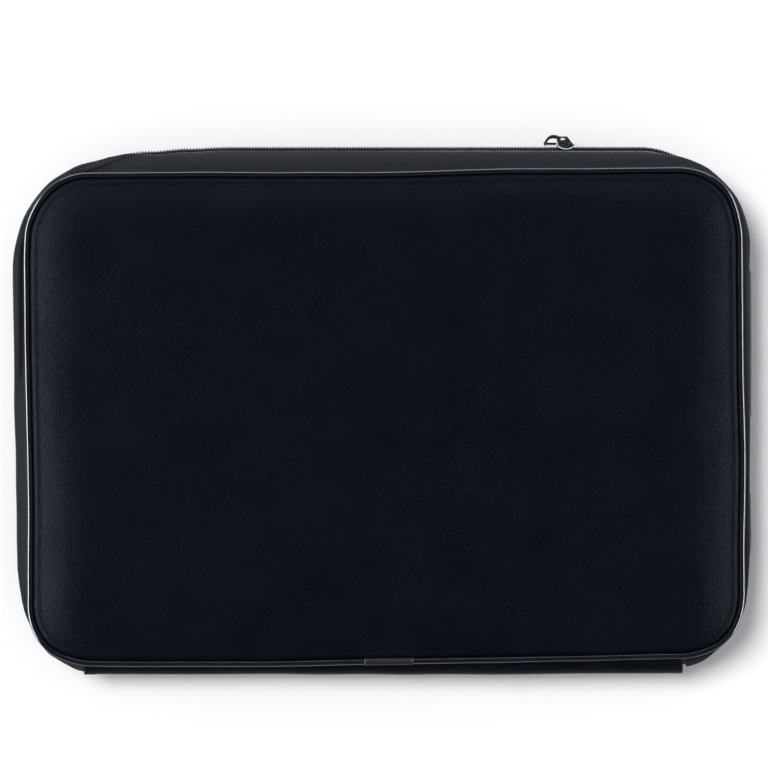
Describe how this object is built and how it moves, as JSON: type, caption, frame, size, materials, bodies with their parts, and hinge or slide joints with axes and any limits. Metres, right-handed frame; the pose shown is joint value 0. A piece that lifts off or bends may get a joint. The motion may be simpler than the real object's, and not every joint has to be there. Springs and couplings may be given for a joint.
{
  "type": "laptop sleeve",
  "caption": "Slim padded laptop sleeve with piped, crowned front and back panels, a bottom gusset and a coil zip with one slider round three sides.",
  "frame": {"origin": "middle of the back panel's flat face, which the sleeve lies on", "axes": "+X along the sleeve's long side; +Y towards the zip's top run; +Z out of the front panel"},
  "size_m": [0.4004, 0.2917, 0.032],
  "materials": {
    "outer_cloth": "smooth matt navy-black cloth with a fine grain",
    "piping_cloth": "satin black piping cloth",
    "zip_tape": "dark grey herringbone woven tape",
    "zip_coil": "black nylon coil",
    "lining_cloth": "dark grey woven lining",
    "foam": "grey closed-cell foam",
    "core_cord": "plain filler cord",
    "binding_tape": "black ribbed binding tape",
    "slider_metal": "gunmetal plated die casting",
    "puller_metal": "black painted metal",
    "spring_steel": "plain spring steel"
  },
  "bodies": {
    "back_half": {"back_outer_panel": "outer_cloth", "back_foam": "foam", "back_lining": "lining_cloth", "back_piping_cord": "core_cord", "back_piping_cover": "piping_cloth", "back_piping_wrap": "piping_cloth", "back_seam_binding": "binding_tape", "back_zip_tape": "zip_tape", "back_zip_coil": "zip_coil", "back_zip_cord": "core_cord", "bottom_gusset_outer": "outer_cloth", "bottom_gusset_foam": "foam", "bottom_gusset_lining": "lining_cloth"},
    "front_cover": {"front_outer_panel": "outer_cloth", "front_foam": "foam", "front_lining": "lining_cloth", "front_piping_cord": "core_cord", "front_piping_cover": "piping_cloth", "front_piping_wrap": "piping_cloth", "front_seam_binding": "binding_tape", "front_zip_tape": "zip_tape", "front_zip_coil": "zip_coil", "front_zip_cord": "core_cord"},
    "slider": {"slider_body": "slider_metal", "slider_crown": "slider_metal", "slider_lock_spring": "spring_steel"},
    "puller_link": {"pull_link": "puller_metal"},
    "puller_tab": {"pull_tab": "puller_metal"}
  },
  "joints": [
    {"name": "cover_hinge", "type": "hinge", "parent": "back_half", "child": "front_cover", "pos_m": [0, -0.1314, 0.0255], "axis": [1, 0, 0], "range_deg": [0, 180]},
    {"name": "slider_travel", "type": "slide", "parent": "back_half", "child": "slider", "axis": [1, 0, 0], "range_m": [-0.179, 0.034]},
    {"name": "link_hinge", "type": "hinge", "parent": "slider", "child": "puller_link", "pos_m": [0.0948, 0.15005, 0.0155], "axis": [0, 0, -1], "range_deg": [0, 165]},
    {"name": "tab_hinge", "type": "hinge", "parent": "puller_link", "child": "puller_tab", "pos_m": [0.0873, 0.1477, 0.0155], "axis": [0, 0, 1], "range_deg": [0, 180]}
  ]
}
